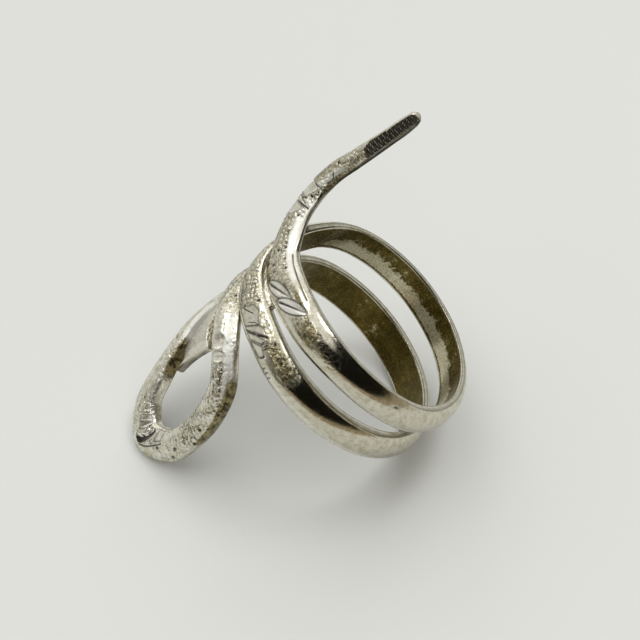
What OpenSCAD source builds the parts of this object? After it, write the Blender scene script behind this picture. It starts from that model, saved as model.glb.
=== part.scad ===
// Snake wrap ring: one wire of half-round section. It starts as a tapering tail, winds twice
// round the finger and ends in a drop-shaped loop whose end is soldered back to the wire.
// The ring is modelled the way it lies on a table.

/* [Finger] */
// Inside diameter of the two hoops (mm)
bore_d = 18; // [16:0.5:20]
// Length of the whole ring along the finger (mm)
ring_length = 38.5; // [37:0.1:40]

/* [Wire] */
// Thickness of the hoop wire, flat face to crown (mm)
wire_h = 1.25; // [1.1:0.05:1.4]
// How much thicker the hoops are on the side facing the wearer's fingertip (mm)
wear_h = 0.3; // [0.2:0.05:0.4]
// Step between the sections along the wire, two thirds of it in the loop (mm)
step = 0.9; // [0.8:0.1:1.4]

/* [Loop] */
// How far the end of the loop leans in (mm)
loop_lean = 3; // [2.4:0.1:3.2]

/* [Rest] */
// Depth of the small worn flats the ring stands on (mm)
rest_flat = 0.28; // [0.2:0.02:0.36]

/* [Hidden] */

// Readings are in 210ths of the bore's diameter.
u = bore_d / 210;
bore_r = bore_d / 2;
skin = 0.06;
silver = [0.72, 0.70, 0.66];

// Sections of the wire. Columns: angle round the finger (degrees, 0 at the crossing),
// place along the finger, lift off the bore, width, thickness, twist (degrees), straight wall.
TAIL = [
  [-4, 163, 26, 7, 7, -35, 3],
  [-4, 160, 26, 13, 9, -35, 4],
  [-4, 154, 26, 16, 10, -35, 5],
  [-4, 122, 28, 19, 12, -35, 6],
  [-5, 84, 31, 24, 14, -32, 7.4],
  [-5, 50, 34, 29, 15, -30, 7.4],
  [-3, 20, 31, 38, 15, -26, 7.4]
];
UPPER = [
  [3, -7, 22, 43, 15, -18, 7.4],
  [11, -22, 12, 43, 15, -10, 7.4],
  [20, -30, 5, 43, 15, -4, 7.4],
  [30, -30, 1, 44, 15, 0, 7.4],
  [41, -26, 0, 44, 14.5, 0, 7.4],
  [55, -21, 0, 43, 14.5, 0, 7.4],
  [73, -17, 0, 39, 14.5, 0, 7.4],
  [97, -14, 0, 33, 14.5, 0, 7.4],
  [125, -14, 0, 32, 14.5, 0, 7.4],
  [150, -15, 0, 32, 14.5, 0, 7.4],
  [180, -16, 0, 33, 14.5, 0, 7.4],
  [210, -17, 0, 34, 13, 0, 7],
  [240, -17, 0, 35, 11.5, 0, 6.5],
  [270, -17, 0, 35, 10.5, 0, 6.5],
  [300, -17, 0, 35, 10.5, 0, 6.5],
  [325, -17, 0, 36, 11, 0, 6.5],
  [343, -20, 1, 36, 12.5, 5, 7]
];
LOWER = [
  [356, -31, 6, 36, 14.5, 14, 7.4],
  [367, -50, 11, 36, 14.5, 10, 7.4],
  [379, -67, 9, 37, 14.5, 4, 7.4],
  [392, -72, 3, 36, 14.5, 0, 7.4],
  [405, -72, 0, 38, 14.5, 0, 7.4],
  [420, -69, 0, 38, 14.5, 0, 7.4],
  [440, -68, 0, 37, 14.5, 0, 7.4],
  [470, -67.5, 0, 36, 14.5, 0, 7.4],
  [500, -67, 0, 35, 14, 0, 7.4],
  [530, -69, 0, 35, 14, 0, 7.4],
  [560, -73, 0, 37, 14.5, 0, 8],
  [590, -76, 0, 39, 14.5, 0, 10],
  [620, -78, 0, 40, 14.5, 0, 11],
  [650, -79, 0, 40, 14.5, 0, 10],
  [680, -79, 0, 40, 14.5, 0, 8],
  [700, -82, 1, 39, 14.5, 0, 7.4]
];
LOOP = [
  [715, -88, 4, 38, 14.5, 0, 7.4],
  [728, -97, 7, 37, 15, 0, 8],
  [742, -105, 6, 36, 16, 0, 9],
  [757, -110, 5, 34, 17, 0, 10],
  [772, -119, 5, 31, 17, 0, 10],
  [786, -136, 5, 30, 17, 0, 10],
  [793, -163, 5, 29, 17, 0, 10],
  [796, -198, 5, 29, 17, 0, 10],
  [793, -231, 4, 34, 17, 0, 10],
  [781, -250, 4, 36, 17, 0, 10],
  [766, -240, 4, 33, 17, 0, 10],
  [754, -214, 4, 30, 17, 0, 10],
  [744, -194, 4, 29, 16, 0, 10],
  [733, -174, 4, 30, 16, 0, 10],
  [727, -153, 4, 31, 16, 0, 10],
  [727, -126, 4, 28, 14, 0, 9],
  [728, -106, 2, 24, 12, 0, 7]
];
// The solder web that closes the top of the loop, same columns.
WEB = [
  [731, -130, 5, 24, 9, 6, 7],
  [741, -146, 5, 48, 9, 10, 7],
  [751, -159, 6, 68, 9, 13, 7],
  [761, -165, 6, 78, 9, 14, 7]
];
WIRE = concat(TAIL, UPPER, LOWER, LOOP);
n_tail = len(TAIL);
n_upper = n_tail + len(UPPER);
n_lower = n_upper + len(LOWER);

// Directions in the ring's own axes, Z along the finger: what points up when the ring
// stands on its loop and its lower hoop, and what faces the front.
UP = [0.4583, -0.5246, 0.7175];
FRONT = [0.852, 0, 0.523];

function unit(v) = v / norm(v);
function ease(x) = let (t = min(1, max(0, x))) t * t * (3 - 2 * t);
function outward(angle) = [sin(angle), -cos(angle), 0];

// Thickness of the wire at a row: the hoops carry wear_h extra on the fingertip side.
function swell(angle) =
  let (a = angle % 360)
  (angle < 45 || angle > 690) ? 0 : ease((a - 50) / 30) * (1 - ease((a - 150) / 40));
function lean(row) = row[0] < 705 ? 0 : pow(min(1, max(0, (-100 - row[1]) / 144)), 1.3);

// Centre of the flat face at a row.
function centre(row) =
  outward(row[0]) * (bore_r + row[2] * u) + [0, 0, row[1] * u]
  - FRONT * loop_lean * lean(row);
function thick(row) = row[4] * wire_h / 14.5 + wear_h * swell(row[0]);
function wall(row) = row[6] * u + 0.8 * wear_h * swell(row[0]);
// x, y, z of the flat face, width, thickness, wall, twist, angle
function knot(row) =
  let (c = centre(row))
  [c[0], c[1], c[2], row[3] * u, thick(row), wall(row), row[5], row[0]];

// A smooth curve through the knots, measured by the chords between them.
function chord(k) = [for (i = [0 : len(k) - 2]) norm([for (j = [0:2]) k[i + 1][j] - k[i][j]])];
function sums(v) = [for (i = 0, s = 0; i <= len(v); s = s + (i < len(v) ? v[i] : 0), i = i + 1) s];
function slopes(k, h) = [
  for (i = [0 : len(k) - 1])
    i == 0 ? (k[1] - k[0]) / h[0]
    : i == len(k) - 1 ? (k[i] - k[i - 1]) / h[i - 1]
    : ((k[i] - k[i - 1]) * h[i] / h[i - 1] + (k[i + 1] - k[i]) * h[i - 1] / h[i])
      / (h[i - 1] + h[i])
];
function blend(a, b, ma, mb, h, t) =
  a * (1 + 2 * t) * (1 - t) * (1 - t) + ma * h * t * (1 - t) * (1 - t)
  + b * t * t * (3 - 2 * t) + mb * h * t * t * (t - 1);
// Sections between two knots: more where the wire bends tightly in the loop.
function parts_of(h, angle) = max(1, ceil(h / (angle > 755 ? step * 0.66 : step)));
function path(k, from, to) =
  let (h = chord(k), m = slopes(k, h))
  [
    for (i = [from : to - 1])
      let (parts = parts_of(h[i], max(k[i][7], k[i + 1][7])))
      for (j = [0 : parts - 1])
        blend(k[i], k[i + 1], m[i], m[i + 1], h[i], j / parts),
    k[to]
  ];

// Half-round section: flat face, short straight walls and a dome, 2 wide and 1 high.
dome_n = 12;
function section(w, h, wall, sk) = concat(
  [[w / 2, -sk]],
  [for (i = [0 : dome_n]) [w / 2 * cos(180 * i / dome_n), wall + (h - wall) * sin(180 * i / dome_n)]],
  [[-w / 2, -sk]]
);
sec_n = dome_n + 3;
function rings(p, dirs) = [
  for (i = [0 : len(p) - 1])
    let (
      t = dirs[i],
      o = outward(p[i][7]),
      n0 = unit(o - t * (o * t)),
      s0 = cross(t, n0),
      s = s0 * cos(p[i][6]) - n0 * sin(p[i][6]),
      n = n0 * cos(p[i][6]) + s0 * sin(p[i][6]),
      c = [p[i][0], p[i][1], p[i][2]]
    )
    for (q = section(p[i][3], p[i][4], p[i][5], skin)) c + s * q[0] + n * q[1]
];
function place(v) = [v[0], v[1], v[2]];
function dirs(p) = [
  for (i = [0 : len(p) - 1])
    unit(place(p[min(len(p) - 1, i + 1)]) - place(p[max(0, i - 1)]))
];
function skin_faces(n) = concat(
  [
    for (i = [0 : n - 2], j = [0 : sec_n - 1])
      let (a = i * sec_n + j, b = i * sec_n + (j + 1) % sec_n)
      each [[a, b, a + sec_n], [b, b + sec_n, a + sec_n]]
  ],
  [for (j = [1 : sec_n - 2]) [0, j + 1, j]],
  [for (j = [1 : sec_n - 2]) [(n - 1) * sec_n, (n - 1) * sec_n + j, (n - 1) * sec_n + j + 1]]
);

knots = [for (row = WIRE) knot(row)];
whole = path(knots, 0, len(WIRE) - 1);
whole_dirs = dirs(whole);
whole_rings = rings(whole, whole_dirs);
// Index of the first section at a row.
function at_row(r) =
  let (h = chord(knots))
  r == 0 ? 0
  : sums([for (i = [0 : r - 1]) parts_of(h[i], max(knots[i][7], knots[i + 1][7]))])[r];

module strand(from, to) {
  a = at_row(from);
  b = at_row(to);
  polyhedron(
    points = [for (i = [a * sec_n : (b + 1) * sec_n - 1]) whole_rings[i]],
    faces = skin_faces(b - a + 1),
    convexity = 6
  );
}
module tail() {
  color(silver) strand(0, n_tail);
}
module upper_hoop() {
  color(silver) strand(n_tail, n_upper);
}
module lower_hoop() {
  color(silver) strand(n_upper, n_lower);
}
module loop() {
  color(silver) strand(n_lower, len(WIRE) - 1);
}
module web() {
  k = [for (row = WEB) knot(row)];
  p = path(k, 0, len(k) - 1);
  color(silver)
    polyhedron(points = rings(p, dirs(p)), faces = skin_faces(len(p)), convexity = 4);
}
// Solder that fills the grooves under the crossing, between neighbouring strands.
module solder() {
  color(silver)
    translate([0, 0, -96 * u])
      rotate([0, 0, -88])
        rotate_extrude(angle = 24, $fn = 72)
          translate([bore_r + 4 * u, 0]) square([7 * u, 60 * u]);
}
// The two hoops, the tail and the loop as one solid with a true round bore.
module snake() {
  difference() {
    resize([0, 0, ring_length])
      union() {
        tail();
        upper_hoop();
        lower_hoop();
        loop();
        web();
        solder();
      }
    translate([0, 0, -118 * u]) cylinder(r = bore_r, h = 122 * u, $fn = 180);
  }
}

// How the ring stands: its own axes turned so that UP is vertical and FRONT faces -Y.
up = unit(UP);
back = -unit(FRONT - up * (FRONT * up));
right = cross(back, up);
zs = [for (p = whole_rings) p[2]];
stretch = ring_length / (max(zs) - min(zs));
outline = [for (p = whole_rings) [p[0], p[1], p[2] * stretch]];
xs = [for (p = outline) right * p];
ys = [for (p = outline) back * p];
floor_z = min([for (p = outline) up * p]) + rest_flat;
mid_x = (min(xs) + max(xs)) / 2;
mid_y = (min(ys) + max(ys)) / 2;
module ring() {
  color(silver)
    difference() {
      translate([-mid_x, -mid_y, -floor_z])
        multmatrix([
          [right[0], right[1], right[2], 0],
          [back[0], back[1], back[2], 0],
          [up[0], up[1], up[2], 0]
        ])
          snake();
      translate([-40, -40, -20]) cube([80, 80, 20]);
    }
}
ring();
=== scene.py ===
import math
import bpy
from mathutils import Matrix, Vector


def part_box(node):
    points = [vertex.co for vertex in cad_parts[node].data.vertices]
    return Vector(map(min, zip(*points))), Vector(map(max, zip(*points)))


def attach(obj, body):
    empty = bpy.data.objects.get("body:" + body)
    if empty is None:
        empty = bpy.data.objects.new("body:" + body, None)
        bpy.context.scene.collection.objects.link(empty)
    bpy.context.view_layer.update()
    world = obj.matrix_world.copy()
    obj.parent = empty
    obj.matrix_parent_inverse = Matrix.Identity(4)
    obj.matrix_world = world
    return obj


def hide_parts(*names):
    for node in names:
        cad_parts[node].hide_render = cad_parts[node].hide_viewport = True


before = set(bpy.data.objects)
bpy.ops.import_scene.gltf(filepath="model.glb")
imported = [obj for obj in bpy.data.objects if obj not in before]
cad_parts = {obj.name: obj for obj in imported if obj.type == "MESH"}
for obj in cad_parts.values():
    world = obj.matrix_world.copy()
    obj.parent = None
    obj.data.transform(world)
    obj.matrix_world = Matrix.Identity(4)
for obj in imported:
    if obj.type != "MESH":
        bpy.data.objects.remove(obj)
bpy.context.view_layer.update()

from types import SimpleNamespace

import bpy
import numpy as np
from mathutils import Matrix, Vector

# Snake wrap ring: one half-round silver wire, re-swept finely from the solid's rows, with the
# punched marks, the filed tip and the worn surface of the real one.

MM = 0.001

# Sizes in millimetres, as in the part's source.
BORE_D = 18.0
# One unit of the readings in the rows below.
U = BORE_D / 210
BORE_R = BORE_D / 2
WIRE_H = 1.25
# The thickness in the rows that stands for WIRE_H.
HOOP_THICK = 14.5
# How much thicker the hoops are over part of each turn, and how far the loop's end leans.
WEAR_H = 0.3
LOOP_LEAN = 3.0
# The flat face starts SKIN inside the bore, and is pushed out to it between these places.
SKIN = 0.06
BORE_FROM, BORE_TO = -118 * U, 4 * U
# Radius of the wire's rounded rims.
RIM = 0.2
# In the ring's own axes, Z along the finger: what points up on the table, and what faces the front.
UP = np.array([0.4583, -0.5246, 0.7175])
FRONT = np.array([0.852, 0, 0.523])

# Rows of the wire: angle round the finger, place along it, lift, width, thickness, twist, wall.
# Angles and twists are in degrees and the rest in 210ths of the bore's diameter. The walls are
# lower than the solid's, and some rows of the tail, the upper hoop's front and the web are moved
# or widened to suit the photo, all by less than a millimetre.
TAIL = [
    (-4, 163, 26, 12, 7, -35, 3), (-4, 160, 26, 17, 9, -35, 4), (-4, 154, 26, 19, 10, -35, 5),
    (-4, 122, 28, 21, 12, -35, 5), (-5, 84, 31, 24, 14, -32, 4),
    (-5, 50, 34, 29, 15, -30, 3), (-3, 20, 31, 38, 15, -26, 3),
]
UPPER = [
    (3, -7, 22, 43, 15, -18, 3), (11, -22, 12, 43, 15, -10, 4), (20, -30, 5, 43, 15, -4, 5.5),
    (30, -30, 1, 44, 15, 0, 5), (41, -26, 0, 44, 14.5, 0, 4), (55, -20.5, 0, 43, 14.5, 0, 3.5),
    (73, -15.5, 0, 40, 14.5, 0, 3), (97, -11.5, 0, 35, 14.5, 0, 2.5),
    (125, -12, 0, 33.5, 14.5, 0, 3), (150, -15, 0, 32, 14.5, 0, 4),
    (180, -16, 0, 33, 14.5, 0, 5), (210, -17, 0, 34, 13, 0, 5), (240, -17, 0, 35, 11.5, 0, 5),
    (270, -17, 0, 35, 10.5, 0, 5), (300, -17, 0, 35, 10.5, 0, 5),
    (325, -17, 0, 36, 11, 0, 5), (343, -20, 1, 36, 12.5, 5, 6),
]
LOWER = [
    (356, -31, 6, 36, 14.5, 14, 7.4), (367, -50, 11, 36, 14.5, 10, 7.4),
    (379, -67, 9, 37, 14.5, 4, 7.4), (392, -72, 3, 36, 14.5, 0, 7.4),
    (405, -72, 0, 38, 14.5, 0, 5), (420, -69, 0, 38, 14.5, 0, 4),
    (440, -68, 0, 37, 14.5, 0, 3.5), (470, -67.5, 0, 36, 14.5, 0, 3.5),
    (500, -67, 0, 35, 14, 0, 3.5), (530, -69, 0, 35, 14, 0, 4), (560, -73, 0, 37, 14.5, 0, 5),
    (590, -76, 0, 39, 14.5, 0, 6), (620, -78, 0, 40, 14.5, 0, 6), (650, -79, 0, 40, 14.5, 0, 6),
    (680, -79, 0, 40, 14.5, 0, 6), (700, -82, 1, 39, 14.5, 0, 6),
]
LOOP = [
    (715, -88, 4, 38, 14.5, 0, 6), (728, -97, 7, 37, 15, 0, 5), (742, -105, 6, 36, 16, 0, 5),
    (757, -110, 5, 34, 17, 0, 5), (772, -119, 5, 31, 17, 0, 6), (786, -136, 5, 30, 17, 0, 8),
    (793, -163, 5, 29, 17, 0, 10), (796, -198, 5, 29, 17, 0, 10), (793, -231, 4, 34, 17, 0, 10),
    (781, -250, 4, 36, 17, 0, 10), (766, -240, 4, 33, 17, 0, 10), (754, -214, 4, 30, 17, 0, 10),
    (744, -194, 4, 29, 16, 0, 10), (733, -174, 4, 30, 16, 0, 10), (727, -153, 4, 31, 16, 0, 10),
    (727, -126, 4, 28, 14, 0, 9), (728, -106, 2, 24, 12, 0, 7),
]
WEB = [
    (731, -130, 5, 24, 9, 6, 7), (741, -143.5, 5, 43, 9, 10, 7), (751, -153.5, 6, 57, 9, 13, 7),
    (760, -161, 6, 71, 9, 14, 7),
]
# How far the web's end is drawn out, in mm.
WEB_CURL = 0.8
# Solder in the groove between the two hoops at the crossing.
SEAM = [
    (6, -43, 12, 8, 6, 0, 2), (16, -48, 8, 14, 9, 0, 3), (27, -52, 3, 15, 9, 0, 3),
    (37, -54, 2, 12, 8, 0, 3), (45, -53, 1, 8, 5, 0, 2),
]
# Solder under the crossing: angles, places along the finger and radii.
SOLDER_FROM, SOLDER_TO = -88, -64
SOLDER_Z = (-96 * U, -36 * U)
SOLDER_R = (BORE_R + 4 * U, BORE_R + 11 * U)

# The room: azimuth, half width and softness of each side in degrees, sines of heights, colours.
LEFT_SIDE = (-118, 26, 12)
NEAR_SIDE = (146, 85, 6)
WINDOW_SIDE = (-8, 36, 8)
CEILING_FROM = (0.68, 0.82)
NEAR_FROM = (0.17, 0.28)
NEAR_UP_TO = (0.94, 0.89)
NEAR_EDGE_SIDE = (146, 93, 12)
NEAR_EDGE = (0.2, 0.19, 0.1, 1)
BACK_WALL = (0.7, 0.7, 0.68, 1)
LEFT_WALL = (0.24, 0.235, 0.21, 1)
WINDOW = (1.2, 1.2, 1.18, 1)
CEILING = (1.08, 1.08, 1.07, 1)
NEAR_WALL = (0.008, 0.0075, 0.0055, 1)
NEAR_LOW = (0.38, 0.31, 0.22, 1)
# Soft lights, LIGHT_AWAY metres from the point they face: azimuth, elevation, width and height in
# degrees, radiance, whether it lights the floor, and whether the metal mirrors it.
LIGHT_AWAY = 0.6
LIGHT_AIM = Vector((0, 0, 10)) * MM
LIGHTS = {
    "key": (-45, 58, 30, 22, 2.4, False, True),
    "left": (-110, 53, 20, 12, 2.2, False, True),
    "front": (165, 40, 50, 30, 0.8, True, False),
    "side": (66, 63, 19, 19, 4.8, True, True),
}
# Light from all of the ceiling: strength, colour, and spread in degrees.
FILL, FILL_COLOUR, FILL_SPREAD = 0.95, (1, 1, 0.9), 150
# The floor's colour, and half its side in metres.
FLOOR, FLOOR_HALF = (0.72, 0.728, 0.722, 1), 1.5

# Colours of the metal and of what is on it. A pair is dark and light.
HOOPS = ((0.49, 0.46, 0.335, 1), (0.66, 0.63, 0.535, 1))
LOOP_SILVER = ((0.6, 0.555, 0.42, 1), (0.82, 0.81, 0.73, 1))
# Olive-brown, dark and light, for tarnish and for painted shade.
STAIN_AND_SHADE = ((0.06, 0.05, 0.022, 1), (0.33, 0.275, 0.14, 1))
TARNISH = ((0.07, 0.05, 0.007, 1), (0.145, 0.11, 0.022, 1))
WORN_THROUGH = ((0.4, 0.36, 0.22, 1), (0.62, 0.58, 0.43, 1))
GRIME = (0.36, 0.33, 0.19, 1)
# The polish of leaves, facets and solder, and the painted highlight on the V-cuts' bright flanks.
POLISHED_AND_HIGHLIGHT = (0.86, 0.83, 0.78, 1)
# White painted on the satin places as a painted highlight.
HIGHLIGHT_WHITE = (0.95, 0.94, 0.9, 1)
SPECK = (0.5, 0.46, 0.36, 1)
# Near black, for oxide in the marks and for painted shade.
OXIDE_AND_SHADE = (0.018, 0.016, 0.01, 1)

# The photo's view: degrees down and of roll, metres away, the point in the middle, the lens.
ELEVATION = 50.0
ROLL = 3.18
DISTANCE = 214.3 * MM
AIM = Vector((2.303, 0.367, 12.437)) * MM
LENS, SENSOR = 140.6, 36.0


def unit(v):
    return v / np.linalg.norm(v, axis=-1, keepdims=True)


def ease(x):
    t = np.clip(x, 0, 1)
    return t * t * (3 - 2 * t)


def outward(angle):
    a = np.radians(angle)
    return np.stack([np.sin(a), -np.cos(a), np.zeros_like(a)], -1)


def swell(angle):
    """Share of WEAR_H that the hoops carry at each angle."""
    a = angle % 360
    grown = ease((a - 50) / 30) * (1 - ease((a - 150) / 40))
    return np.where((angle < 45) | (angle > 690), 0, grown)


def lean(angle, along):
    """Share of LOOP_LEAN at each place of the loop."""
    return np.where(angle < 705, 0, np.clip((-100 - along) / 144, 0, 1) ** 1.3)


# Spacing of the sections in mm: on the wire, on the hoops' plain backs, and in the solder.
FINE_STEP, PLAIN_STEP, SOLDER_STEP = 0.094, 0.3, 0.12
# The angles between which the hoops are plain.
PLAIN_BACKS = ((100, 355), (450, 705))
# Columns of a knot after x, y and z.
WIDTH, THICK, WALL, TWIST, ANGLE = 3, 4, 5, 6, 7


def knots(rows):
    """x, y, z of the flat face, width, thickness, wall, twist and angle at each row."""
    angle, along, lift, width, thick, twist, wall = np.array(rows, float).T
    centre = outward(angle) * (BORE_R + lift * U)[:, None]
    centre[:, 2] += along * U
    centre -= FRONT * LOOP_LEAN * lean(angle, along)[:, None]
    grown = WEAR_H * swell(angle)
    return np.column_stack([
        centre, width * U, thick * WIRE_H / HOOP_THICK + grown, wall * U + 0.8 * grown, twist, angle,
    ])


def section_step(angle, marked):
    """Spacing of the sections: fine on the wire, wide on the hoops' plain backs."""
    if not marked:
        return SOLDER_STEP
    plain = any(start < angle < end for start, end in PLAIN_BACKS)
    return PLAIN_STEP if plain else FINE_STEP


def smooth(knot, marked):
    """Sections on a smooth curve through the knots, each piece of it a cubic."""
    length = np.linalg.norm(np.diff(knot[:, :3], axis=0), axis=1)
    steps = np.diff(knot, axis=0) / length[:, None]
    slope = np.empty_like(knot)
    slope[0], slope[-1] = steps[0], steps[-1]
    before, after = length[:-1, None], length[1:, None]
    slope[1:-1] = (steps[:-1] * after + steps[1:] * before) / (before + after)
    out = []
    for i in range(len(length)):
        halfway = 0.5 * (knot[i, ANGLE] + knot[i + 1, ANGLE])
        count = max(1, math.ceil(length[i] / section_step(halfway, marked)))
        t = (np.arange(count) / count)[:, None]
        out.append(
            knot[i] * (1 + 2 * t) * (1 - t) ** 2 + slope[i] * length[i] * t * (1 - t) ** 2
            + knot[i + 1] * t * t * (3 - 2 * t) + slope[i + 1] * length[i] * t * t * (t - 1)
        )
    out.append(knot[-1:])
    return np.vstack(out)


def directions(path):
    """Along, across and outward unit vectors at each section."""
    centre = path[:, :3]
    ahead = unit(np.vstack([centre[1:], centre[-1:]]) - np.vstack([centre[:1], centre[:-1]]))
    away = outward(path[:, ANGLE])
    out = unit(away - ahead * (away * ahead).sum(-1, keepdims=True))
    side = np.cross(ahead, out)
    turn = np.radians(path[:, TWIST])[:, None]
    return ahead, side * np.cos(turn) - out * np.sin(turn), out * np.cos(turn) + side * np.sin(turn)


# Place on the table: the ring's own axes turned so that UP is vertical and FRONT faces -Y.
up = unit(UP)
back = -unit(FRONT - up * (FRONT @ up))
right = np.cross(back, up)
TO_TABLE = np.stack([right, back, up])

# Marks punched and filed into the outside. A place is mm along the wire from the tail's tip, and mm
# round it from the crown, positive towards the palm side of the hoops.

# Leaf-shaped stamps: ends, half width, depth of the vein, polish inside.
LEAVES = [
    ((20.7, -1.4), (24.35, 0.4), 0.58, 0.26, 0.4),
    ((23.2, -1.2), (26.4, 1.05), 0.56, 0.26, 0.85),
]
# The edge round a leaf, and how deep its halves slope to the vein.
LEAF_EDGE, LEAF_EDGE_DEEP, LEAF_SLOPE = 0.13, 0.1, 0.2
# Facets cut or struck flat, as corners in order.
FACETS = [
    [(11.45, -1.2), (12.9, -1.15), (12.95, 0.7), (12.3, 1.05), (11.5, 1.25)],
    [(13.72, -1.3), (14.75, -1.2), (14.9, 0.3), (14.5, 0.8), (13.75, 1.35)],
    [(80.35, -0.95), (82.0, -1.0), (83.1, 0.5), (81.7, 0.95), (80.9, 0.6)],
    [(82.1, -1.0), (82.45, -0.98), (84.35, 0.8), (83.6, 0.8), (83.15, 0.5)],
    [(82.65, -1.0), (83.45, -0.95), (84.55, 0.05), (84.6, 0.65)],
    [(83.6, -1.0), (85.25, -0.8), (85.45, -0.2), (84.7, 0.0)],
    [(152.4, -1.4), (153.5, -1.4), (153.9, -0.2), (153.0, -0.4)],
    [(155.5, -1.4), (156.3, -1.4), (156.6, -0.2), (156.1, 0.1)],
    [(156.5, -1.4), (157.3, -1.3), (157.2, -0.3), (156.7, -0.1)],
]
# Round facets: middle, half length, half width.
OVALS = [((139.6, 0.05), 0.64, 0.85), ((140.75, 0.0), 0.45, 0.88), ((141.4, 0.1), 0.16, 0.6)]
# Half width of a facet's edge, how dark it is on a cut facet and on a round one, what a facet
# leaves of the stippling, and its polish.
FACET_EDGE, CUT_DARK, ROUND_DARK, FACET_LEAVES, FACET_POLISH = 0.1, 0.95, 0.5, 0.15, 0.12
# V-shaped cuts: ends, width of the flank painted dark as painted shade, width of the flank painted bright
# as a painted highlight, depth.
NOTCHES = [
    ((154.3, -1.3), (155.9, 0.75), 0.45, 0.25, 0.36),
    ((85.45, -0.75), (85.6, -0.1), 0.1, 0.05, 0.12),
]
# Darker places on the outside, partly tarnish and partly painted shade: from, to, upper edge, lower edge,
# strength.
STAINS_AND_SHADE = [
    (142.3, 149.0, 0.95, 2.2, 0.9), (161.3, 165.0, -3.0, -1.1, 0.75), (153.5, 161.3, -3.0, -1.3, 0.15),
    (6.8, 11.2, 1.4, 2.6, 0.6), (136.2, 141.2, -2.2, -0.95, 0.55), (26.3, 29.0, -0.7, 1.1, 0.55),
    (84.5, 88.8, 0.2, 1.6, 0.55), (76.5, 80.0, -0.3, 0.3, 0.35), (14.3, 21.0, -2.3, -0.8, 0.85),
    (22.2, 24.6, -0.6, 0.6, 0.6), (23.4, 26.2, 0.75, 1.25, 0.6), (8.0, 12.6, -2.0, 0.5, 0.45),
    (158.0, 162.5, -1.3, 0.9, 0.2), (155.6, 157.6, -1.5, 0.0, 0.3), (130.5, 138.0, -1.2, 2.0, 0.36),
]
# Satin places on the outside, rougher and painted whitish as painted highlights: from, to, upper edge,
# lower edge, strength.
SATIN_HIGHLIGHTS = [
    (137.5, 140.0, 0.85, 1.75, 0.5), (139.6, 143.6, 0.65, 1.6, 0.8), (12.5, 23.0, 1.05, 2.1, 0.5),
    (165.0, 170.5, -3.0, -0.9, 0.85), (8.0, 12.0, 0.8, 1.3, 0.6), (156.0, 162.5, -3.0, -0.9, 0.3),
    (31.0, 42.0, -2.0, -0.6, 0.45), (86.5, 101.0, -2.0, -0.6, 0.35),
]
# How far the ends and the edges of these places fade.
STAIN_AND_SHADE_FADE, SATIN_HIGHLIGHT_FADE = (2.0, 0.5), (1.2, 0.3)
# Chisel lines: points, half width, depth.
LINES = [
    ([(11.48, 0.0), (11.2, 1.4)], 0.11, 0.12),
    ([(13.02, -1.4), (13.08, 0.5), (12.9, 1.0)], 0.1, 0.14),
    ([(13.15, 0.4), (13.4, 1.2)], 0.08, 0.1),
    ([(13.56, -1.3), (13.62, 1.7)], 0.12, 0.16),
    ([(9.4, 0.9), (9.7, 1.4)], 0.1, 0.12),
    ([(80.6, -0.57), (81.55, 0.2)], 0.09, 0.1),
    ([(82.4, -1.05), (83.2, -0.45), (83.8, 0.1), (84.45, 0.78)], 0.1, 0.14),
    ([(82.0, -0.5), (82.6, 0.2), (83.15, 0.6)], 0.07, 0.06),
    ([(84.68, 0.1), (84.75, 0.6)], 0.06, 0.1),
    ([(84.88, 0.05), (84.98, 0.62)], 0.06, 0.1),
    ([(85.08, 0.0), (85.2, 0.62)], 0.06, 0.1),
    ([(83.4, -1.2), (84.3, -1.12), (85.2, -1.0)], 0.08, 0.08),
    ([(77.9, -0.4), (79.5, -0.8), (80.7, -1.15)], 0.09, 0.08),
    ([(86.1, -1.2), (86.2, -0.75)], 0.07, 0.08),
    ([(86.5, -1.2), (86.6, -0.7)], 0.07, 0.08),
    ([(86.9, -1.25), (87.0, -0.8)], 0.07, 0.08),
    ([(137.0, -1.5), (137.1, -0.95)], 0.12, 0.1),
    ([(139.1, -1.5), (139.2, -0.95)], 0.1, 0.1),
    ([(140.1, -1.5), (140.15, -1.0)], 0.1, 0.1),
    ([(141.0, -1.5), (141.0, -0.95)], 0.1, 0.1),
    ([(152.9, -0.2), (154.2, 0.3), (155.4, 0.95)], 0.1, 0.12),
    ([(36.2, 0.85), (36.5, 1.7)], 0.05, 0.05),
    ([(19.6, 1.75), (21.2, 1.72), (22.6, 1.68), (24.2, 1.62), (25.4, 1.6)], 0.09, 0.03),
]
# The filed flat at the tip: its upper edge, as places, and its end.
TIP_FLAT = [(0.0, 0.1), (0.5, -0.1), (2.75, -0.02), (2.95, 0.12), (3.15, -0.05), (4.9, 0.0), (5.7, 0.5)]
TIP_FLAT_END = 5.7
# The palm-side edge of the tail is painted black, as painted shade, from the tip to here.
SHADED_EDGE_END = 11.5
# The loop's cleaner silver starts between these places.
LOOP_FROM, LOOP_TO = 128.0, 135.0


def to_line(along, girth, a, b):
    """Place along the line from a to b in mm, its length, and the distance sideways."""
    (a0, a1), (b0, b1) = a, b
    length = math.hypot(b0 - a0, b1 - a1)
    ux, uy = (b0 - a0) / length, (b1 - a1) / length
    lengthwise = (along - a0) * ux + (girth - a1) * uy
    sideways = (girth - a1) * ux - (along - a0) * uy
    return lengthwise, length, sideways


def leaf_reach(t, half_width):
    """Half width of a leaf at the share t of its length."""
    return half_width * (4 * t * (1 - t)) ** 0.75


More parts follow.
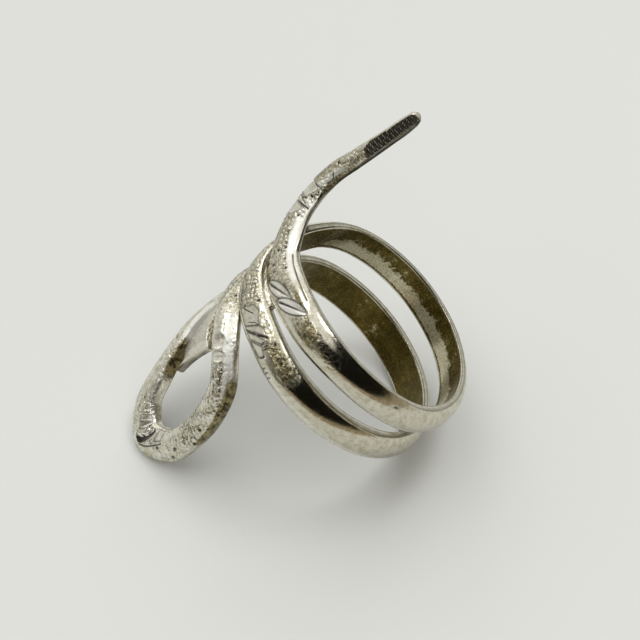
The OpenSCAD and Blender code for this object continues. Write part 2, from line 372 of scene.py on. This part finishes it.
def cut_leaves(along, girth, depth, dark, polish):
    """A groove round each leaf, two halves that slope to the vein, and the deep vein."""
    for a, b, half_width, deep, bright in LEAVES:
        place, length, sideways = to_line(along, girth, a, b)
        t = np.clip(place / length, 0, 1)
        reach = leaf_reach(t, half_width)
        side = np.abs(sideways)
        shaped = reach > 0.03
        inside = (side < reach) & shaped
        vein = np.clip(1 - side / (0.17 - 0.1 * t), 0, 1)
        vein *= np.clip(6 * t, 0, 1) * np.clip(2.5 * (1 - t), 0, 1)
        edge = np.clip(1 - np.abs(side - reach) / LEAF_EDGE, 0, 1) * shaped
        slope = LEAF_SLOPE * (1 - side / np.maximum(reach, 1e-6))
        depth[:] = np.where(inside, slope, depth)
        depth[:] = np.maximum(depth, np.maximum(LEAF_EDGE_DEEP * edge, deep * vein))
        dark[:] = np.where(inside, 0, dark)
        dark[:] = np.maximum(dark, np.clip(np.maximum(1.5 * edge - 0.25, 1.9 * vein), 0, 1))
        polish[inside] = bright


def cut_notches(along, girth, depth, dark, polish):
    """V-shaped cuts that fade at both ends, with one flank painted dark as painted shade and one painted
    bright as a painted highlight.
    """
    for a, b, shaded_side, lit_side, deep in NOTCHES:
        place, length, sideways = to_line(along, girth, a, b)
        t = place / length
        taper = np.clip(4 * t, 0, 1) * np.clip(5 * (1 - t), 0, 1)
        flank = np.where(sideways > 0, sideways / shaded_side, -sideways / lit_side)
        cut = taper * np.clip(1 - flank, 0, 1)
        depth[:] = np.maximum(depth, deep * cut)
        # Painted shade and highlight: one flank is painted black and the other bright.
        dark[:] = np.where((sideways > 0) & (cut > 0.03), 1.3, np.where(cut > 0.05, 0, dark))
        polish[(sideways <= 0) & (cut > 0.05)] = 1


def near_line(along, girth, a, b, half_width):
    """1 on the line from a to b, and 0 at half_width from it."""
    place, length, sideways = to_line(along, girth, a, b)
    past = np.maximum(0, np.maximum(-place, place - length))
    return np.clip(1 - np.hypot(sideways, past) / half_width, 0, 1)


def cut_lines(along, girth, depth, dark):
    for points, half_width, deep in LINES:
        for a, b in zip(points, points[1:]):
            cut = near_line(along, girth, a, b, half_width)
            depth[:] = np.maximum(depth, deep * cut)
            dark[:] = np.maximum(dark, np.clip(1.6 * cut, 0, 1))


def chord_height(x, y, girth, upper, lower):
    """Height of the straight chord between two places round each section."""
    ends = [
        [np.interp(place[i], girth[i], values[i]) for i in range(len(x))]
        for place in (upper, lower) for values in (x, y)
    ]
    x0, y0, x1, y1 = (np.array(v)[:, None] for v in ends)
    return y0 + (y1 - y0) * (x - x0) / np.minimum(x1 - x0, -1e-6)


def span(corners, arc):
    """Upper and lower edge of a convex facet at each place along the wire; nan beside it."""
    upper, lower = np.full(len(arc), np.inf), np.full(len(arc), -np.inf)
    for (a0, a1), (b0, b1) in zip(corners, corners[1:] + corners[:1]):
        if a0 == b0:
            continue
        within = (arc >= min(a0, b0)) & (arc <= max(a0, b0))
        edge = a1 + (b1 - a1) * (arc[within] - a0) / (b0 - a0)
        upper[within] = np.minimum(upper[within], edge)
        lower[within] = np.maximum(lower[within], edge)
    upper[upper > lower] = np.nan
    lower[np.isnan(upper)] = np.nan
    return upper, lower


def oval(middle, long, wide, steps=20):
    """Corners of a round facet."""
    turns = [2 * math.pi * i / steps for i in range(steps)]
    return [(middle[0] + long * math.cos(v), middle[1] + wide * math.sin(v)) for v in turns]


def cut_facets(along, girth, x, y, depth, dark, share, polish):
    """The dome cut flat inside each facet, with a fine dark edge."""
    arc = along[:, 0]
    out = y.copy()
    facets = [(corners, CUT_DARK) for corners in FACETS] + [(oval(*values), ROUND_DARK) for values in OVALS]
    for corners, edge_dark in facets:
        upper, lower = span(corners, arc)
        rows = np.flatnonzero(lower - upper > 0.05)
        if not len(rows):
            continue
        line = chord_height(x[rows], y[rows], girth[rows], upper[rows], lower[rows])
        within = (girth[rows] > upper[rows, None]) & (girth[rows] < lower[rows, None])
        out[rows] = np.where(within, np.minimum(out[rows], line), out[rows])
        for layer in (depth, dark, share):
            layer[rows] *= np.where(within, FACET_LEAVES, 1)
        polish[rows] = np.where(within, FACET_POLISH, polish[rows])
        for a, b in zip(corners, corners[1:] + corners[:1]):
            dark[:] = np.maximum(dark, edge_dark * near_line(along, girth, a, b, FACET_EDGE))
    rows = np.flatnonzero(arc < TIP_FLAT_END)
    upper = np.minimum(np.interp(arc[rows], *zip(*TIP_FLAT)), girth[rows, -1] - 0.05)
    line = chord_height(x[rows], y[rows], girth[rows], upper, girth[rows, -1])
    within = girth[rows] > upper[:, None]
    out[rows] = np.where(within, np.minimum(out[rows], line), out[rows])
    return out


# How flat-sided the dome is along the wire: mm from the tail's tip, then the shoulder on its
# fingertip side and on its palm side.
SHOULDERS = [
    (0, 1.3, 1.3), (6, 1.5, 1.5), (17, 1.5, 1.6), (22, 1.0, 1.2), (26, 1.0, 1.3), (29, 1.0, 1.7),
    (36, 1.0, 1.8), (41, 1.0, 1.0), (80, 1.0, 1.0), (84, 1.0, 1.5), (90, 1.0, 1.6), (95, 1.0, 1.1),
    (108, 1.0, 1.0), (131, 1.0, 1.2), (134, 1.1, 1.8), (143, 1.3, 1.8), (149, 1.3, 1.3), (173, 1.3, 1.3),
]
# The shoulder of the solder's strands.
SOLDER_SHOULDER = 1.3

# Stretches stippled with small scales: from, to, upper edge, lower edge, strength.
SCALES = [
    (5.8, 12.0, -3.0, 3.0, 0.65), (14.9, 21.5, -1.6, 1.15, 1.0), (11.0, 15.0, 0.9, 1.8, 0.9),
    (21.0, 28.5, -0.5, 1.0, 0.7), (28.0, 31.0, -0.3, 0.9, 0.25),
    (73.0, 81.0, -1.6, 1.5, 0.9), (82.0, 87.5, 0.5, 1.4, 0.8), (86.5, 88.5, -0.2, 1.8, 0.4),
    (131.0, 136.5, -1.6, 2.0, 0.95), (135.5, 141.0, -1.6, 2.0, 0.5),
    (141.2, 150.0, -1.7, 1.7, 1.0), (150.0, 161.0, -1.7, 1.7, 0.65),
    (161.0, 168.0, -1.7, 1.7, 0.5), (168.0, 172.0, -1.5, 1.5, 0.35),
]
SCALE_FADE = (0.6, 0.4)
SCALE_LONG, SCALE_WIDE, SCALE_DEEP = 0.44, 0.56, 0.12
PIT_APART, PIT_DEEP = 0.75, 0.07
# How patchy the stippling is on the tail and the hoops, and how patchy on the loop, from its start.
PATCHY, PATCHY_LOOP, PATCHY_LOOP_FROM = 0.28, 0.42, 125
# What the stamps leave of it.
LEAF_LEAVES = 0.1


def scatter(i, j, seed):
    """A repeatable number from 0 to 1 for each cell of a grid."""
    v = np.sin(i * 127.1 + j * 311.7 + seed * 74.7) * 43758.5453
    return v - np.floor(v)


def scales(along, girth):
    """Lumps like small overlapping scales: 0 in the grooves between them, 1 on top."""
    u = along / SCALE_LONG + 0.35 * np.sin(3.1 * girth + 0.9 * along)
    v = girth / SCALE_WIDE + 0.3 * np.sin(2.3 * along)
    i0, j0 = np.floor(u), np.floor(v)
    nearest = np.full(along.shape, 9.0)
    second = np.full(along.shape, 9.0)
    for di in (-1, 0, 1):
        for dj in (-1, 0, 1):
            i, j = i0 + di, j0 + dj
            reach = np.hypot(u - i - 0.2 - 0.6 * scatter(i, j, 1), v - j - 0.2 - 0.6 * scatter(i, j, 2))
            reach += 0.3 * scatter(i, j, 3)
            second = np.minimum(second, np.maximum(nearest, reach))
            nearest = np.minimum(nearest, reach)
    return np.clip((second - nearest) / 0.5, 0, 1) ** 0.7


def pits(along, girth):
    """Small round pits, thinly scattered: 1 in the middle of each."""
    u, v = along / PIT_APART, girth / PIT_APART
    i, j = np.floor(u), np.floor(v)
    away = np.hypot(u - i - 0.3 - 0.4 * scatter(i, j, 4), v - j - 0.3 - 0.4 * scatter(i, j, 5))
    return np.clip(1 - away / 0.28, 0, 1) * (scatter(i, j, 6) > 0.84)


def areas(table, along, girth, fade):
    """Strength of the strongest area of the table at each place."""
    ends, edges = fade
    found = np.zeros_like(along)
    for start, end, upper, lower, strength in table:
        lengthwise = ease((along - start) / ends + 0.5) * ease((end - along) / ends + 0.5)
        across = ease((girth - upper) / edges + 0.5) * ease((lower - girth) / edges + 0.5)
        found = np.maximum(found, strength * lengthwise * across)
    return found


def scaled_share(along, girth):
    """How strongly each place is stippled."""
    share = areas(SCALES, along, girth, SCALE_FADE)
    drift = np.sin(1.9 * along + 1.5 * np.sin(2.1 * girth)) * np.sin(2.7 * girth + 1.1 * along)
    patchy = np.where(along > PATCHY_LOOP_FROM, PATCHY_LOOP, PATCHY)
    share = share * (1 - patchy + patchy * drift)
    for a, b, half_width, *_ in LEAVES:
        place, length, sideways = to_line(along, girth, a, b)
        reach = leaf_reach(np.clip(place / length, 0, 1), half_width)
        share[np.abs(sideways) < reach] *= LEAF_LEAVES
    return share * (1 - 0.5 * areas(SATIN_HIGHLIGHTS, along, girth, SATIN_HIGHLIGHT_FADE))


def marked_dome(along, girth, x, y):
    """The dome's height with every mark, and how dark, how stippled and how polished each place is. The
    dark also holds painted shade, and the polish a painted highlight on the V-cuts.
    """
    share = scaled_share(along, girth)
    groove = 1 - scales(along, girth)
    pit = pits(along, girth) * ease(2 * share)
    depth = SCALE_DEEP * share * groove + PIT_DEEP * pit
    dark = np.maximum(0.9 * share * np.clip(groove * 2.2 - 0.9, 0, 1), np.clip(2 * pit, 0, 1))
    polish = np.zeros_like(along)
    flat = cut_facets(along, girth, x, y, depth, dark, share, polish)
    cut_leaves(along, girth, depth, dark, polish)
    cut_lines(along, girth, depth, dark)
    cut_notches(along, girth, depth, dark, polish)
    # The flat at the tip is painted dark, a painted dark reflection, and file marks run across it in bands.
    tip = np.clip((TIP_FLAT_END - along) / 0.2 + 0.5, 0, 1)
    edge = np.interp(along, *zip(*TIP_FLAT))
    hatch = np.sin(26 * along + 9 * girth) * np.sin(7 * along + 2.2) ** 2
    filed = tip * np.clip((girth - edge) / 0.1 + 0.5, 0, 1)
    depth = depth * (1 - filed) + 0.03 * filed * np.abs(hatch)
    dark = np.maximum(dark, filed * (1.2 - 0.05 * along + 0.6 * hatch))
    return flat - depth, dark, share * (1 - filed), polish


# Steps of a section's dome, of each rim and of the flat face, and its columns in order: rim,
# dome, rim, flat.
DOME_N = 52
RIM_N = 5
FLAT_N = 8
SEC_N = 2 * (RIM_N + 1) + DOME_N + 1 + FLAT_N - 1
DOME = slice(RIM_N + 1, RIM_N + 1 + DOME_N + 1)
CROWN = RIM_N + 1 + DOME_N // 2
PALM_RIM = slice(DOME.stop, DOME.stop + RIM_N + 1)
FLAT = slice(PALM_RIM.stop, SEC_N)
# Columns of the fine dark lines painted along the rims as painted shade, how dark each is, and the share on
# the loop.
RIM_SHADE_LINES = ((4, 0.8), (6, 0.6), (58, 0.6), (60, 0.8))
RIM_SHADE_LINES_LOOP = 0.4
# What each point carries for the material.
LAYERS = ("along", "girth", "inner", "dark", "scale", "rubbed", "polish", "stain")


def outline(width, thick, wall, shoulder):
    """Section of the wire: flat inside, rounded rims, short walls and a dome. Across, height.
    A shoulder of 1 makes an elliptic dome and 2 a parabolic one, which is less steep at the sides."""
    quarter = np.radians(np.linspace(-90, 0, RIM_N + 1))[None]
    rim_x = width / 2 - RIM + RIM * np.cos(quarter)
    rim_y = -SKIN + RIM + RIM * np.sin(quarter) + np.zeros_like(width)
    a = np.radians(np.linspace(0, 180, DOME_N + 1))[None]
    power = np.where(a < math.pi / 2, shoulder[:, :1], shoulder[:, 1:])
    dome_x, dome_y = width / 2 * np.cos(a), wall + (thick - wall) * np.sin(a) ** power
    flat = np.linspace(-1, 1, FLAT_N + 1)[None, 1:-1]
    flat_x = flat * (width / 2 - RIM)
    x = np.hstack([rim_x, dome_x, -rim_x[:, ::-1], flat_x])
    y = np.hstack([rim_y, dome_y, rim_y[:, ::-1], np.full_like(flat_x, -SKIN)])
    return x, y


def shoulders(arc):
    """The dome's shoulders at each place along the wire: fingertip side, palm side."""
    places, *sides = zip(*SHOULDERS)
    return np.stack([np.interp(arc, places, side) for side in sides], -1)


def from_crown(x, y):
    """Distance of each column from the crown, round the section."""
    steps = np.hypot(np.diff(x, axis=1, prepend=x[:, :1]), np.diff(y, axis=1, prepend=y[:, :1]))
    girth = np.cumsum(steps, axis=1)
    return girth - girth[:, CROWN][:, None]


def mark_outside(data, x, y):
    """Put the marks, stains, painted highlights and painted shade of the wire into its data, and the marks
    into y.
    """
    along, girth, dark = data["along"], data["girth"], data["dark"]
    marks = marked_dome(along[:, DOME], girth[:, DOME], x[:, DOME], y[:, DOME])
    for layer, values in zip((y, dark, data["scale"], data["polish"]), marks):
        layer[:, DOME] = values
    # Tarnish and painted shade on the outside.
    data["stain"][:] = areas(STAINS_AND_SHADE, along, girth, STAIN_AND_SHADE_FADE) * (1 - data["polish"])
    # The satin places, where a highlight is painted.
    data["rubbed"][:] = areas(SATIN_HIGHLIGHTS, along, girth, SATIN_HIGHLIGHT_FADE)
    # Painted shade: the tail's palm-side edge is painted black near the tip.
    dark[:, PALM_RIM] = 0.9 * ease((SHADED_EDGE_END - along[:, PALM_RIM]) / 3)
    # Painted shade: fine dark lines along the rims, fainter on the loop.
    for column, strength in RIM_SHADE_LINES:
        dark[:, column] = strength * np.where(along[:, column] > LOOP_FROM, RIM_SHADE_LINES_LOOP, 1)


def roughen_solder(data, curl):
    """Lumpy, half polished and slightly stained solder, smoother at the web's drawn-out end."""
    data["scale"][:] = 0.9
    data["polish"][:] = 0.4
    data["stain"][:] = 0.28
    if curl:
        along = data["along"]
        data["scale"] *= 1 - 0.8 * ease((along - along.max() + 0.9) / 0.3)


def tarnish_inside(data, side, angle):
    """Mark the flat face, and rub it more on the backs and along one edge of the upper hoop."""
    data["inner"][:, FLAT] = 1
    data["inner"][:, [0, PALM_RIM.stop - 1]] = 1
    upper_back = ease((angle - 130) / 25) * ease((345 - angle) / 20)
    cream = upper_back * np.clip(0.15 + 1.2 * side[:, FLAT], 0, 0.5)
    data["rubbed"][:, FLAT] = 0.12 * ease((angle - 140) / 30) + cream


def bored(pts):
    """The points, with the bore round and true where the wire lies on the finger."""
    r = np.hypot(pts[..., 0], pts[..., 1])
    z = pts[..., 2]
    push = np.where((z > BORE_FROM) & (z < BORE_TO) & (r < BORE_R), BORE_R / r, 1)
    pts[..., :2] *= push[..., None]
    return pts


def skin(count):
    """Quads round count sections, and the caps at both ends."""
    i = np.arange(count - 1)[:, None] * SEC_N
    j = np.arange(SEC_N)[None]
    k = (j + 1) % SEC_N
    quads = np.stack([i + j, i + j + SEC_N, i + k + SEC_N, i + k], -1).reshape(-1, 4)
    first = list(range(SEC_N))
    last = [(count - 1) * SEC_N + v for v in range(SEC_N)][::-1]
    return quads, [first, last]


def strand(rows, marked=True, curl=0):
    """One closed skin swept along the rows: points (mm, ring axes), quads, caps and its data.
    The wire is marked, and the strands of solder aren't."""
    path = smooth(knots(rows), marked)
    ahead, across, out = directions(path)
    width, thick, wall = path[:, [WIDTH]], path[:, [THICK]], path[:, [WALL]]
    arc = np.concatenate([[0], np.cumsum(np.linalg.norm(np.diff(path[:, :3], axis=0), axis=1))])
    shoulder = shoulders(arc) if marked else np.full((len(arc), 2), SOLDER_SHOULDER)
    x, y = outline(width, thick, wall, shoulder)
    data = {name: np.zeros_like(x) for name in LAYERS}
    data["along"][:] = arc[:, None]
    data["girth"][:] = from_crown(x, y)
    if marked:
        mark_outside(data, x, y)
    else:
        roughen_solder(data, curl)
    tarnish_inside(data, x / width, path[:, [ANGLE]])
    pts = path[:, None, :3] + across[:, None] * x[..., None] + out[:, None] * y[..., None]
    if curl:
        # The end is drawn out along the fingertip side.
        reach = curl * (0.5 + x / width) ** 3 * ease((arc - arc[-1]) / 1.5 + 1)[:, None]
        pts += ahead[:, None] * reach[..., None]
    quads, caps = skin(len(path))
    return bored(pts).reshape(-1, 3), quads, caps, {name: v.ravel() for name, v in data.items()}


def solder_plate():
    """Tarnished solder under the crossing, between neighbouring strands."""
    steps = 24
    angle = np.radians(np.linspace(SOLDER_FROM, SOLDER_TO, steps + 1))
    corners = [(SOLDER_R[0], SOLDER_Z[0]), (SOLDER_R[1], SOLDER_Z[0]),
               (SOLDER_R[1], SOLDER_Z[1]), (SOLDER_R[0], SOLDER_Z[1])]
    pts = np.array([(r * math.cos(a), r * math.sin(a), z) for a in angle for r, z in corners])
    quads = [(i * 4 + j, i * 4 + (j + 1) % 4, i * 4 + 4 + (j + 1) % 4, i * 4 + 4 + j)
             for i in range(steps) for j in range(4)]
    caps = [[3, 2, 1, 0], [steps * 4 + v for v in range(4)]]
    data = {name: np.zeros(len(pts)) for name in LAYERS}
    data["inner"][:] = 1
    data["scale"][:] = 0.6
    return pts, np.array(quads), caps, data


def seated(shells):
    """All shells' points on the table. The solid's box cuts the flats that the ring stands on."""
    lo, hi = (np.array(v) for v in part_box("ring"))
    placed = [pts @ TO_TABLE.T * MM for pts, *_ in shells]
    every = np.vstack(placed)
    low, high = every.min(0), every.max(0)
    shift = (lo + hi - low - high) / 2
    shift[2] = hi[2] - high[2]
    return [np.clip(v + shift, lo, hi) for v in placed]


def ring_mesh():
    shells = [
        strand(TAIL + UPPER + LOWER + LOOP),
        strand(WEB, marked=False, curl=WEB_CURL),
        strand(SEAM, marked=False),
        solder_plate(),
    ]
    points = seated(shells)
    verts, faces, base = [], [], 0
    data = {name: [] for name in LAYERS}
    for place, (pts, quads, caps, values) in zip(points, shells):
        verts.append(place)
        faces += (quads + base).tolist() + [[v + base for v in cap] for cap in caps]
        for name in data:
            data[name].append(values[name])
        base += len(pts)
    mesh = bpy.data.meshes.new("snake_ring")
    mesh.from_pydata(np.vstack(verts).tolist(), [], faces)
    for name, parts in data.items():
        layer = mesh.attributes.new(name, "FLOAT", "POINT")
        layer.data.foreach_set("value", np.concatenate(parts).astype(np.float32))
    mesh.update()
    mesh.validate()
    mesh.shade_smooth()
    return mesh


class Tree:
    """Short calls for building a node tree."""

    def __init__(self, tree):
        self.tree = tree
        tree.nodes.clear()

    def node(self, kind, **values):
        made = self.tree.nodes.new(kind)
        for name, value in values.items():
            setattr(made, name, value)
        return made

    def link(self, a, b):
        self.tree.links.new(a, b)

    def put(self, socket, value):
        if isinstance(value, bpy.types.NodeSocket):
            self.link(value, socket)
        else:
            socket.default_value = value

    def math(self, kind, *values, clamp=False):
        made = self.node("ShaderNodeMath", operation=kind, use_clamp=clamp)
        for socket, value in zip(made.inputs, values):
            self.put(socket, value)
        return made.outputs[0]

    def vector(self, kind, *values):
        made = self.node("ShaderNodeVectorMath", operation=kind)
        for socket, value in zip(made.inputs, values):
            self.put(socket, value)
        return made.outputs["Value" if kind == "DOT_PRODUCT" else "Vector"]

    def ramp(self, value, low, high, to_low=0.0, to_high=1.0):
        made = self.node("ShaderNodeMapRange", interpolation_type="SMOOTHSTEP")
        for name, v in (("Value", value), ("From Min", low), ("From Max", high),
                        ("To Min", to_low), ("To Max", to_high)):
            self.put(made.inputs[name], v)
        return made.outputs[0]

    def mix(self, amount, a, b):
        made = self.node("ShaderNodeMix", data_type="RGBA")
        self.put(made.inputs["Factor"], amount)
        self.put(made.inputs["A"], a)
        self.put(made.inputs["B"], b)
        return made.outputs["Result"]

    def weighted(self, *pairs, start=0.0):
        """start and every value times its weight, added up."""
        total = start
        for value, weight in pairs:
            total = self.math("MULTIPLY_ADD", value, weight, total)
        return total

    def noise(self, where, scale, detail, rough):
        made = self.node("ShaderNodeTexNoise")
        for name, v in (("Vector", where), ("Scale", scale), ("Detail", detail), ("Roughness", rough)):
            self.put(made.inputs[name], v)
        return made.outputs["Fac"]

    def attribute(self, name):
        return self.node("ShaderNodeAttribute", attribute_name=name).outputs["Fac"]


def surface_masks(tree):
    """What each point carries, noises, and the masks that colour, gloss and bump share."""
    mm = tree.vector("SCALE", tree.node("ShaderNodeTexCoord").outputs["Object"])
    mm.node.inputs["Scale"].default_value = 1 / MM
    masks = SimpleNamespace(**{name: tree.attribute(name) for name in LAYERS})
    masks.patches = tree.noise(mm, scale=0.55, detail=5.0, rough=0.62)
    masks.blotch = tree.noise(mm, scale=1.9, detail=5.0, rough=0.7)
    masks.fine = tree.noise(mm, scale=5.5, detail=5.0, rough=0.7)
    masks.speck = tree.noise(mm, scale=11.0, detail=2.0, rough=0.6)
    # The satin places outside, where white is painted as a painted highlight.
    masks.satin = tree.math("MULTIPLY", masks.rubbed, tree.math("SUBTRACT", 1.0, masks.inner))
    ragged = tree.math("SUBTRACT", masks.fine, 0.5)
    # Stains and painted shade, with ragged edges.
    masks.stained = tree.ramp(tree.weighted((ragged, 1.2), start=masks.stain), 0.25, 0.65)
    # The tarnish inside the hoops is rubbed through to silver in patches.
    masks.mottle = tree.weighted((masks.patches, 0.4), (masks.blotch, 0.35), (masks.fine, 0.25))
    bare = tree.ramp(tree.weighted((masks.rubbed, 0.62), start=masks.mottle), 0.63, 0.7)
    masks.tarnish = tree.math("MULTIPLY", masks.inner, tree.math("SUBTRACT", 1.0, bare))
    # Black oxide is in the marks and in pits. The dark layer also holds black painted shade: the tip's
    # flat, the tail's palm-side edge, the rim lines and the V-cuts' dark flanks.
    marks = tree.math("MULTIPLY", masks.dark, tree.ramp(masks.fine, 0.25, 0.42, 0.35, 1.0), clamp=True)
    pitted = tree.math("MULTIPLY", tree.ramp(masks.speck, 0.3, 0.22), tree.ramp(masks.blotch, 0.52, 0.4))
    masks.oxide = tree.math("MAXIMUM", marks, tree.math("MULTIPLY", pitted, 0.5))
    return masks


def outside_colour(tree, masks):
    """Silver, dulled to grey and gold in blotches and cleaner on the loop, with satin places painted white
    as painted highlights, and stains that are partly painted shade.
    """
    loop = tree.ramp(masks.along, LOOP_FROM, LOOP_TO)
    dull, clean = (tree.mix(loop, hoops, silver) for hoops, silver in zip(HOOPS, LOOP_SILVER))
    colour = tree.mix(tree.ramp(masks.blotch, 0.36, 0.6), dull, clean)
    stippled = tree.math("MULTIPLY", masks.scale, tree.ramp(masks.fine, 0.56, 0.4))
    colour = tree.mix(stippled, colour, GRIME)
    colour = tree.mix(masks.polish, colour, POLISHED_AND_HIGHLIGHT)
    # Painted highlights: the satin places mixed towards white.
    colour = tree.mix(masks.satin, colour, HIGHLIGHT_WHITE)
    # Stains, partly painted shade.
    return tree.mix(masks.stained, colour, tree.mix(tree.ramp(masks.blotch, 0.4, 0.56), *STAIN_AND_SHADE))


def inside_colour(tree, masks):
    """Brown tarnish with pale specks, and the silver where it is rubbed through."""
    brown = tree.mix(tree.ramp(masks.mottle, 0.42, 0.58), *TARNISH)
    brown = tree.mix(tree.ramp(masks.speck, 0.66, 0.78), brown, SPECK)
    return tree.mix(masks.tarnish, tree.mix(tree.ramp(masks.fine, 0.4, 0.6), *WORN_THROUGH), brown)


def relief(tree, masks):
    """Height in mm of the lumps, waves and grain that are finer than the mesh."""
    wire = tree.node("ShaderNodeCombineXYZ")
    tree.put(wire.inputs["X"], masks.along)
    tree.put(wire.inputs["Y"], masks.girth)
    cells = tree.node("ShaderNodeTexVoronoi", feature="SMOOTH_F1")
    tree.put(cells.inputs["Vector"], wire.outputs[0])
    tree.put(cells.inputs["Scale"], 3.6)
    tree.put(cells.inputs["Smoothness"], 0.35)
    lumps = tree.math("MULTIPLY", cells.outputs["Distance"], masks.scale)
    waves = tree.math("MULTIPLY", masks.blotch, tree.weighted((masks.scale, 0.04), start=0.012))
    grain = tree.math("MULTIPLY", masks.fine, tree.weighted((masks.scale, 0.02), start=0.003))
    return tree.weighted((lumps, -0.11), (masks.oxide, -0.02), start=tree.math("ADD", waves, grain))


def worn_silver():
    mat = bpy.data.materials.new("worn_silver")
    mat.use_nodes = True
    tree = Tree(mat.node_tree)
    masks = surface_masks(tree)
    colour = tree.mix(masks.inner, outside_colour(tree, masks), inside_colour(tree, masks))
    rough = tree.weighted(
        (masks.tarnish, 0.16), (masks.satin, 0.4), (masks.stained, 0.1), (masks.scale, 0.05),
        start=tree.ramp(masks.fine, 0.35, 0.7, 0.08, 0.2),
    )
    # Less metal on oxide, tarnish and stains, and where shade and highlights are painted, so that the
    # painted colours show.
    dirt_and_painted_light = tree.weighted((masks.oxide, 0.5), (masks.inner, 0.35), (masks.stained, 0.2), (masks.satin, 0.45))
    bump = tree.node("ShaderNodeBump")
    bump.inputs["Strength"].default_value = 1.0
    bump.inputs["Distance"].default_value = MM
    tree.put(bump.inputs["Height"], relief(tree, masks))
    bsdf = tree.node("ShaderNodeBsdfPrincipled")
    bsdf.inputs["Specular IOR Level"].default_value = 0.25
    tree.put(bsdf.inputs["Metallic"], tree.math("SUBTRACT", 1.0, dirt_and_painted_light, clamp=True))
    # Black oxide and black painted shade.
    tree.put(bsdf.inputs["Base Color"], tree.mix(masks.oxide, colour, OXIDE_AND_SHADE))
    tree.put(bsdf.inputs["Roughness"], rough)
    tree.put(bsdf.inputs["Normal"], bump.outputs["Normal"])
    out = tree.node("ShaderNodeOutputMaterial")
    tree.link(bsdf.outputs["BSDF"], out.inputs["Surface"])
    return mat


def floor_material():
    mat = bpy.data.materials.new("pale_floor")
    mat.use_nodes = True
    bsdf = mat.node_tree.nodes["Principled BSDF"]
    bsdf.inputs["Base Color"].default_value = FLOOR
    bsdf.inputs["Roughness"].default_value = 0.7
    bsdf.inputs["Specular IOR Level"].default_value = 0.2
    return mat


def make_floor():
    corners = [(x * FLOOR_HALF, y * FLOOR_HALF, 0) for x, y in ((-1, -1), (1, -1), (1, 1), (-1, 1))]
    mesh = bpy.data.meshes.new("floor")
    mesh.from_pydata(corners, [], [(0, 1, 2, 3)])
    floor = bpy.data.objects.new("floor", mesh)
    mesh.materials.append(floor_material())
    bpy.context.scene.collection.objects.link(floor)


def towards(azimuth, elevation):
    """Unit vector. Azimuth 0 is away from the camera, 90 to its right."""
    az, el = math.radians(azimuth), math.radians(elevation)
    return Vector((math.sin(az) * math.cos(el), math.cos(az) * math.cos(el), math.sin(el)))


def area_light(name, azimuth, elevation, wide, tall, radiance, floor, mirrored):
    """A soft light as many degrees wide and tall as stated. Without floor it only shows in the
    metal, and without mirrored it only lights the floor."""
    place = LIGHT_AIM + LIGHT_AWAY * towards(azimuth, elevation)
    data = bpy.data.lights.new(name, "AREA")
    data.shape = "ELLIPSE"
    data.size = 2 * LIGHT_AWAY * math.tan(math.radians(wide / 2))
    data.size_y = 2 * LIGHT_AWAY * math.tan(math.radians(tall / 2))
    ellipse = math.pi * data.size * data.size_y / 4
    data.energy = radiance * math.pi * ellipse
    light = bpy.data.objects.new(name, data)
    light.location = place
    light.rotation_euler = (LIGHT_AIM - place).to_track_quat("-Z", "Y").to_euler()
    light.visible_diffuse = floor
    light.visible_glossy = mirrored
    bpy.context.scene.collection.objects.link(light)


def fill_light():
    """The light from the ceiling, which the metal doesn't mirror."""
    data = bpy.data.lights.new("fill", "SUN")
    data.angle = math.radians(FILL_SPREAD)
    data.energy = FILL
    data.color = FILL_COLOUR
    light = bpy.data.objects.new("fill", data)
    light.visible_glossy = False
    bpy.context.scene.collection.objects.link(light)


def make_world():
    """A room: bright overhead and behind, dimmer on the left, dark where the photographer stood."""
    world = bpy.data.worlds.new("studio")
    bpy.context.scene.world = world
    world.use_nodes = True
    tree = Tree(world.node_tree)
    way = tree.node("ShaderNodeTexCoord").outputs["Generated"]
    flat = tree.vector("NORMALIZE", tree.vector("MULTIPLY", way, (1, 1, 0)))
    height = tree.vector("DOT_PRODUCT", way, (0, 0, 1))

    def side(azimuth, half_width, soft):
        """1 on one side of the room and 0 away from it, with soft edges."""
        facing = tree.vector("DOT_PRODUCT", flat, towards(azimuth, 0))
        edges = (math.cos(math.radians(half_width + more)) for more in (soft, -soft))
        return tree.ramp(facing, *edges)

    colour = tree.mix(side(*LEFT_SIDE), BACK_WALL, LEFT_WALL)
    colour = tree.mix(side(*WINDOW_SIDE), colour, WINDOW)
    colour = tree.mix(side(*NEAR_SIDE), colour, NEAR_LOW)
    colour = tree.mix(tree.ramp(height, *CEILING_FROM), colour, CEILING)
    low = tree.math("MULTIPLY", tree.ramp(height, *NEAR_FROM), tree.ramp(height, *NEAR_UP_TO))
    colour = tree.mix(tree.math("MULTIPLY", side(*NEAR_EDGE_SIDE), low), colour, NEAR_EDGE)
    colour = tree.mix(tree.math("MULTIPLY", side(*NEAR_SIDE), low), colour, NEAR_WALL)
    background = tree.node("ShaderNodeBackground")
    tree.put(background.inputs["Color"], colour)
    out = tree.node("ShaderNodeOutputWorld")
    tree.link(background.outputs[0], out.inputs[0])


def make_camera():
    data = bpy.data.cameras.new("camera")
    data.lens = LENS
    data.sensor_width = SENSOR
    data.clip_start = 0.01
    camera = bpy.data.objects.new("camera", data)
    el = math.radians(ELEVATION)
    camera.location = AIM + DISTANCE * Vector((0, -math.cos(el), math.sin(el)))
    turn = Matrix.Rotation(math.radians(90 - ELEVATION), 4, "X")
    camera.rotation_euler = (turn @ Matrix.Rotation(math.radians(-ROLL), 4, "Z")).to_euler()
    bpy.context.scene.collection.objects.link(camera)
    bpy.context.scene.camera = camera


make_camera()
make_floor()
make_world()
for light_name, values in LIGHTS.items():
    area_light(light_name, *values)
fill_light()

ring = bpy.data.objects.new("snake_ring", ring_mesh())
ring.data.materials.append(worn_silver())
bpy.context.scene.collection.objects.link(ring)
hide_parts("ring")
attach(ring, "root")

bpy.context.scene.view_settings.view_transform = "Standard"
